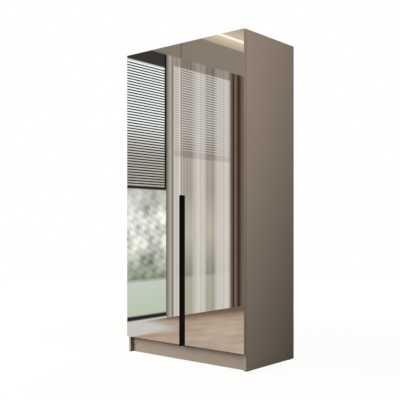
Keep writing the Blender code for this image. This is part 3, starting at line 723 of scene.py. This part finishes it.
def seen_by_eye(tree):
    """1 for camera, glossy and transmission rays, 0 for the rays that carry light between surfaces."""
    path = node(tree, "LightPath").outputs
    glossy = node(tree, "Math", {0: path["Is Camera Ray"], 1: path["Is Glossy Ray"]}, operation="MAXIMUM")
    both = node(tree, "Math", {0: glossy.outputs[0], 1: path["Is Transmission Ray"]}, operation="MAXIMUM")
    return both.outputs[0]


def make_floor():
    """A plain white disc: it returns a little lamp light, keeps the shadow, and glows to white elsewhere."""
    made, tree = blank("studio_floor")
    lit = node(tree, "BsdfDiffuse", {"Color": linear(FLOOR_BOUNCE)})
    away = node(tree, "VectorMath", {0: node(tree, "TexCoord").outputs["Object"]}, operation="LENGTH")
    share = node(tree, "MapRange", {
        "Value": away.outputs["Value"], "From Min": GLOW_START, "From Max": GLOW_END, "To Min": FLOOR_GLOW,
        "To Max": 1.0}, interpolation_type="SMOOTHSTEP")
    glow = node(tree, "Math", {0: seen_by_eye(tree), 1: share.outputs[0]}, operation="MULTIPLY")
    white = node(tree, "Emission", {"Color": linear(WHITE), "Strength": glow.outputs[0]})
    material = finished(made, tree, node(tree, "AddShader", {0: lit.outputs[0], 1: white.outputs[0]}))
    shape = turned([FLOOR_RADIUS, FLOOR_RADIUS], [FLOOR_UNDERSIDE, FLOOR_TOP], "+z", FLOOR_SIDES)
    make_object("studio_floor", shape, [material])


def ramp(start, end, value):
    """0 before start, 1 after end, and a smooth S between them."""
    share = np.clip((value - start) / (end - start), 0, 1)
    return share * share * (3 - 2 * share)


def shade(below, above, share):
    """A blend of two sets of linear colours, share for share."""
    return below + (above - below) * np.asarray(share)[..., None]


def tone(colour):
    """An sRGB hex colour as linear red, green and blue."""
    return np.array(linear(colour)[:3])


def between(name, share):
    """A blend of the set's two tones of that name."""
    first, last = SET_TONES[name]
    return shade(tone(first), tone(last), share)


def pleats(along, width):
    """Light across gathered cloth: a cosine whose beat wanders, from 0 in the folds to 1 on the crests."""
    wander = PLEAT_WANDER * np.sin(2 * np.pi * along / (WANDER_OVER * width))
    return 0.5 + 0.5 * np.cos(2 * np.pi * along / width + wander)


def layers(z, stops):
    """Colours by height: each stop's at its own height, blended between neighbours."""
    levels = [level for level, _ in stops]
    tones = np.array([tone(colour) for _, colour in stops])
    return np.stack([np.interp(z, levels, channel) for channel in tones.T], -1)


def dapple(along, z):
    """Soft patches of light, about -1 to 1: a sum of sines, each along its own direction."""
    step = np.arange(PATCH_SINES)
    beat = FIRST_BEAT * BEAT_GROWTH ** step
    share = SHARE_FALL ** step
    run = along[..., None] * np.cos(PATCH_TURN * step) + z[..., None] * np.sin(PATCH_TURN * step)
    return (np.sin(run * beat + PATCH_PHASE * step ** 2) * share).sum(-1) / np.sqrt((share ** 2).sum())


def panel_look(along, z, start, end):
    """A framed sheet, painted in soft layers and patches, and how strongly the slats show before it."""
    patchy = ramp(*PATCHES_START_Z, z) * (1 - ramp(*PATCHES_END_Z, z))
    glow = layers(z, BACKDROP) * (1 + (PATCH_CONTRAST * patchy * dapple(along - start, z))[..., None])
    glow = shade(glow, tone(SLAT_BOX_TONE), ramp(SLATS_HIGH, SLATS_HIGH + SET_SOFT, z))
    upright_in = np.minimum(along - start, end - along) / PANEL_FRAME
    frame_in = np.minimum(upright_in, (z - SILL_Z) / PANEL_FOOT)
    look = shade(tone(FRAME_TONE), glow, ramp(*FRAME_SOFT, frame_in))
    foot_z = SLATS_LOW - SLAT_FOOT
    foot = ramp(foot_z - SET_SOFT, foot_z, z) * (z < SLATS_LOW)
    channel = (along > end - CHANNEL) * (z > foot_z)
    look = shade(look, tone(CHANNEL_TONE), np.maximum(foot, channel))
    look = shade(tone(SILL_TONE), look, ramp(SILL_Z - SET_SOFT, SILL_Z, z))
    return look, ((z > SLATS_LOW) & (z < SLATS_HIGH)).astype(float)


def scrim_look(along, z, start):
    """Thin cloth in broad falls, a painted sheet showing through it, and how strongly the slats do."""
    fall = ramp(*FALL_EDGE, pleats(along - start - FIRST_FALL, SCRIM_FALL))
    folds = (1 - PLEAT_SHARE) * fall + PLEAT_SHARE * pleats(along, SCRIM_PLEAT)
    cover = SCRIM_THIN + (SCRIM_THICK - SCRIM_THIN) * fall
    look = shade(layers(z, BACKDROP) * tone(SCRIM_TINT), between("scrim", folds), cover)
    heading = HEADING_SHARE * ramp(VEILED_HIGH, VEILED_HIGH + SET_SOFT, z)
    look = shade(look, between("heading", folds), heading)
    foot_z = VEILED_LOW - VEILED_FOOT
    foot = ramp(foot_z - SET_SOFT, foot_z, z) * (z < VEILED_LOW)
    look = shade(look, tone(VEILED_FOOT_TONE), (FOOT_SHARE - FOOT_HIDDEN * fall) * foot)
    return look, VEILED_SHARE * (1 - FALL_HIDES * fall) * ((z > VEILED_LOW) & (z < VEILED_HIGH))


def wall_tones(along, z, hangings):
    """Colours of a set wall: taupe, with its hangings up to the header, and a lit cove under the ceiling.

    The fourth number is how strongly the dark slats show there.
    """
    colours = between("wall", ramp(*WALL_FADE_Z, z))
    slats = np.zeros_like(along)
    for kind, start, end in hangings:
        if kind == "panel":
            look, share = panel_look(along, z, start, end)
        elif kind == "scrim":
            look, share = scrim_look(along, z, start)
        else:
            look, share = between(kind, pleats(along, DRAPE_PLEATS[kind])), 0
        inside = ramp(start - SET_SOFT, start, along) * (1 - ramp(end - SET_SOFT, end, along))
        colours = shade(colours, look, inside)
        slats = slats + (share - slats) * inside
    header = between("header", ramp(*HEADER_FADE, along))
    colours = shade(colours, header, ramp(HEADER_Z - SET_SOFT, HEADER_Z, z))
    cove = between("cove", ramp(COVE_Z, COVE_LINE_Z, z))
    colours = shade(colours, cove, ramp(COVE_Z - SET_SOFT, COVE_Z, z))
    colours = shade(colours, tone(COVE_LINE_TONE), ramp(COVE_LINE_Z - COVE_LINE_SOFT, COVE_LINE_Z, z))
    return np.concatenate([colours, slats[..., None]], -1)


def without_slats(colours):
    """Colours with 0 as the fourth number."""
    return np.concatenate([colours, np.zeros((*colours.shape[:-1], 1))], -1)


def floor_tones(x, y):
    """Colours of the set's floor: boards in painted light before the panel and in painted shade before the
    drapes, then warm pile.
    """
    deep = corners("left_door_mirror")[0][1] - y
    lit_then_shaded_boards = between("lit_then_shaded_boards", ramp(*BOARDS_FADE, deep))
    back = PILE_SLANT * np.maximum(deep - PILE_BEND_AT[1], 0)
    edge = PILE_EDGE_X - PILE_BEND * ramp(*PILE_BEND_AT, deep) + back
    pile = between("pile", ramp(0, PILE_FADE, x - edge))
    pile = pile * (1 + PILE_MOTTLE * dapple(MOTTLE_BEAT * x, MOTTLE_BEAT * y))[..., None]
    soft = PILE_SHARP + PILE_SOFT * ramp(*PILE_SOFTENS, deep)
    colours = shade(lit_then_shaded_boards, pile, ramp(-1, 1, (x - edge) / soft))
    far = np.maximum(ramp(*FAR_FLOOR_X, x), ramp(*FAR_FLOOR_Y, -y))
    return without_slats(shade(colours, tone(FAR_FLOOR_TONE), far))


def ceiling_tones(x, y):
    """Colours of the set's ceiling: lit by the cove along the left wall, then taupe."""
    return without_slats(between("ceiling", ramp(0, CEILING_FADE, x - SET_LEFT_X)))


def set_sheet(name, one, two, place, colours, material):
    """A flat sheet over two runs of coordinates: place gives its points, colours the tone of each."""
    first, second = np.meshgrid(one, two, indexing="ij")
    points = np.stack(np.broadcast_arrays(*place(first, second)), -1)
    index = np.arange(first.size).reshape(first.shape)
    quads = np.stack([index[:-1, :-1], index[1:, :-1], index[1:, 1:], index[:-1, 1:]], -1).reshape(-1, 4)
    made = make_object(name, (points.reshape(-1, 3), [quads]), [material])
    layer = made.data.color_attributes.new("tone", "FLOAT_COLOR", "POINT")
    layer.data.foreach_set("color", colours(first, second).astype(np.float32).ravel())
    made.visible_camera = False
    made.visible_diffuse = False
    made.visible_shadow = False


def set_paint():
    """Flat paint that glows with its own tone, and dark slats across it where the fourth number says."""
    made, tree = blank("studio_set_paint")
    painted = node(tree, "VertexColor", layer_name="tone")
    height = node(tree, "SeparateXYZ", {"Vector": node(tree, "TexCoord").outputs["Object"]}).outputs["Z"]
    step = node(tree, "Math", {0: height, 1: 1 / SLAT_PITCH}, operation="MULTIPLY")
    part = node(tree, "Math", {0: step.outputs[0]}, operation="FRACT")
    slat = node(tree, "Math", {0: part.outputs[0], 1: SLAT_SHARE}, operation="LESS_THAN")
    shown = node(tree, "Math", {0: slat.outputs[0], 1: painted.outputs["Alpha"]}, operation="MULTIPLY")
    colour = node(tree, "Mix", {
        MIX_SHARE: shown.outputs[0], MIX_A: painted.outputs["Color"], MIX_B: linear(SLAT_TONE)},
        data_type="RGBA")
    return finished(made, tree, node(tree, "Emission", {
        "Color": colour.outputs[MIX_COLOUR], "Strength": SET_GAIN}))


def make_set():
    """What stands round the mirrors, out of the camera's sight and casting no light on the object."""
    material = set_paint()
    face_y = corners("left_door_mirror")[0][1]
    rear, front = face_y - SET_REAR_Y, face_y - SET_FRONT_Y
    height = np.concatenate([np.arange(0, PLAIN_LOW_Z, SET_GRAIN),
                             np.arange(PLAIN_LOW_Z, PLAIN_HIGH_Z, PLAIN_GRAIN),
                             np.arange(PLAIN_HIGH_Z, SET_CEILING_Z, SET_GRAIN), [SET_CEILING_Z]])
    deep = np.concatenate([np.arange(rear, 0, REAR_GRAIN), np.arange(0, PLAIN_DEEP, SET_GRAIN),
                           np.arange(PLAIN_DEEP, front, PLAIN_GRAIN), [front]])
    wide = np.concatenate([np.arange(SET_LEFT_X, SET_RIGHT_X, PLAIN_GRAIN), [SET_RIGHT_X]])
    for name, x, hangings in (("left", SET_LEFT_X, LEFT_HANGINGS), ("right", SET_RIGHT_X, RIGHT_HANGINGS)):
        set_sheet(f"set_{name}_wall", deep, height, lambda d, z: (x, face_y - d, z),
                  lambda d, z: wall_tones(d, z, hangings), material)
    for name, y, hangings in (("front", SET_FRONT_Y, FRONT_HANGINGS), ("rear", SET_REAR_Y, REAR_HANGINGS)):
        set_sheet(f"set_{name}_wall", wide, height, lambda x, z: (x, y, z),
                  lambda x, z: wall_tones(x, z, hangings), material)
    runs = (np.concatenate([np.arange(SET_LEFT_X, PLAIN_FLOOR_X, FLOOR_GRAIN), [SET_RIGHT_X]]),
            np.concatenate([[SET_FRONT_Y], np.arange(PLAIN_FLOOR_Y, 0, PLAIN_GRAIN), [SET_REAR_Y]]))
    set_sheet("set_floor", *runs, lambda x, y: (x, y, SET_FLOOR_Z), floor_tones, material)
    set_sheet("set_ceiling", *runs, lambda x, y: (x, y, SET_CEILING_Z), ceiling_tones, material)


def make_world():
    """White to the eye, a soft warm ambient to the surfaces."""
    world = bpy.data.worlds.new("studio")
    world.use_nodes = True
    tree = world.node_tree
    tree.nodes.clear()
    ambient = node(tree, "Background", {"Color": linear(AMBIENT), "Strength": AMBIENT_STRENGTH})
    white = node(tree, "Background", {"Color": linear(WHITE), "Strength": 1.0})
    mixed = node(tree, "MixShader", {0: seen_by_eye(tree), 1: ambient.outputs[0], 2: white.outputs[0]})
    node(tree, "OutputWorld", {"Surface": mixed.outputs[0]})
    bpy.context.scene.world = world


def aim(obj, target):
    """Turns a lamp, which shines along its own -Z, towards the target."""
    x, y, z = np.array(target) - np.array(obj.location)
    obj.rotation_euler = (math.atan2(math.hypot(x, y), -z), 0, math.atan2(-x, y))


def make_lamps():
    """Soft square lamps that the mirrors don't show."""
    for name, place, target, side, watts, colour in LAMPS:
        light = bpy.data.lights.new(name, "AREA")
        light.energy = watts
        light.size = side
        light.color = linear(colour)[:3]
        lamp = bpy.data.objects.new(name, light)
        lamp.location = place
        aim(lamp, target)
        lamp.visible_glossy = False
        bpy.context.scene.collection.objects.link(lamp)


def make_camera():
    """A level camera, shifted up instead of tilted, so that uprights stay upright."""
    data = bpy.data.cameras.new("camera")
    data.lens = CAMERA_LENS
    data.shift_y = CAMERA_SHIFT_Y
    camera = bpy.data.objects.new("camera", data)
    camera.location = CAMERA_PLACE
    camera.rotation_euler = (math.pi / 2, 0, CAMERA_TURN)
    bpy.context.scene.collection.objects.link(camera)
    bpy.context.scene.camera = camera


finishes = {
    "melamine": melamine_chipboard(),
    "nickel": plated_steel("nickel_plated_steel", "#D2CDC5", "#E4E0D9", 0.24, 0.36),
    "zinc": plated_steel("zinc_plated_steel", "#A9A8A4", "#C6C5C2", 0.28, 0.4),
    "chrome": plated_steel("chromed_steel", "#D9DBDE", "#E6E8EA", 0.06, 0.12),
    "hardboard": hardboard(sum(corners("back_panel_left"))[1] / 2),
    "plastic": moulded_plastic("grey_polypropylene", "#6E6A66", "#7D7974", 0.5),
}
dress_nodes(finishes)
make_mirrors(silvered_glass(), glass_edge())
make_handle(black_anodised_aluminium())
make_hinge_details(finishes["nickel"], finishes["zinc"])
make_rail(finishes["chrome"])
make_shelf_pins(finishes["nickel"])
make_back_nails(finishes["zinc"])
make_bumpers(moulded_plastic("clear_silicone", "#C9CBC8", "#DADBD8", 0.35))
make_floor()
make_set()
make_world()
make_lamps()
make_camera()
bpy.context.scene.view_settings.view_transform = "Standard"
